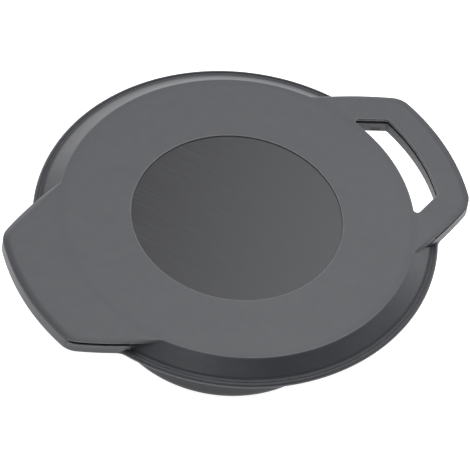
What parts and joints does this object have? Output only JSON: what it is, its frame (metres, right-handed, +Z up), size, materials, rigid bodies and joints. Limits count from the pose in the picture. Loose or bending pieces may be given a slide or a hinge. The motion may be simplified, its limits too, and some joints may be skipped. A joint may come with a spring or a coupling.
{
  "type": "manhole cover",
  "caption": "Round lift-off tank manhole cover with a deep plug, a flange with a rounded lip, one solid lug and one lug with a hand slot.",
  "frame": {"origin": "centre of the plug's flat base, on the cover's axis", "axes": "+Z up through the flat top face, +X towards the lug with the hand slot, +Y along the flange's plain side"},
  "size_m": [0.468, 0.3998, 0.137],
  "materials": {
    "grey_moulding": "satin, finely grained dark grey moulding",
    "grey_disc": "satin dark grey with fine brushed streaks",
    "seal_rubber": "matt black rubber",
    "foam": "closed-cell foam",
    "stainless": "plain stainless steel"
  },
  "bodies": {
    "root": {"top_cover": "grey_moulding", "centre_disc": "grey_disc", "base_moulding": "grey_moulding", "foam_core": "foam", "rim_seal": "seal_rubber", "rim_screws": "stainless", "lug_screws": "stainless", "sealing_washers": "seal_rubber"}
  },
  "joints": []
}
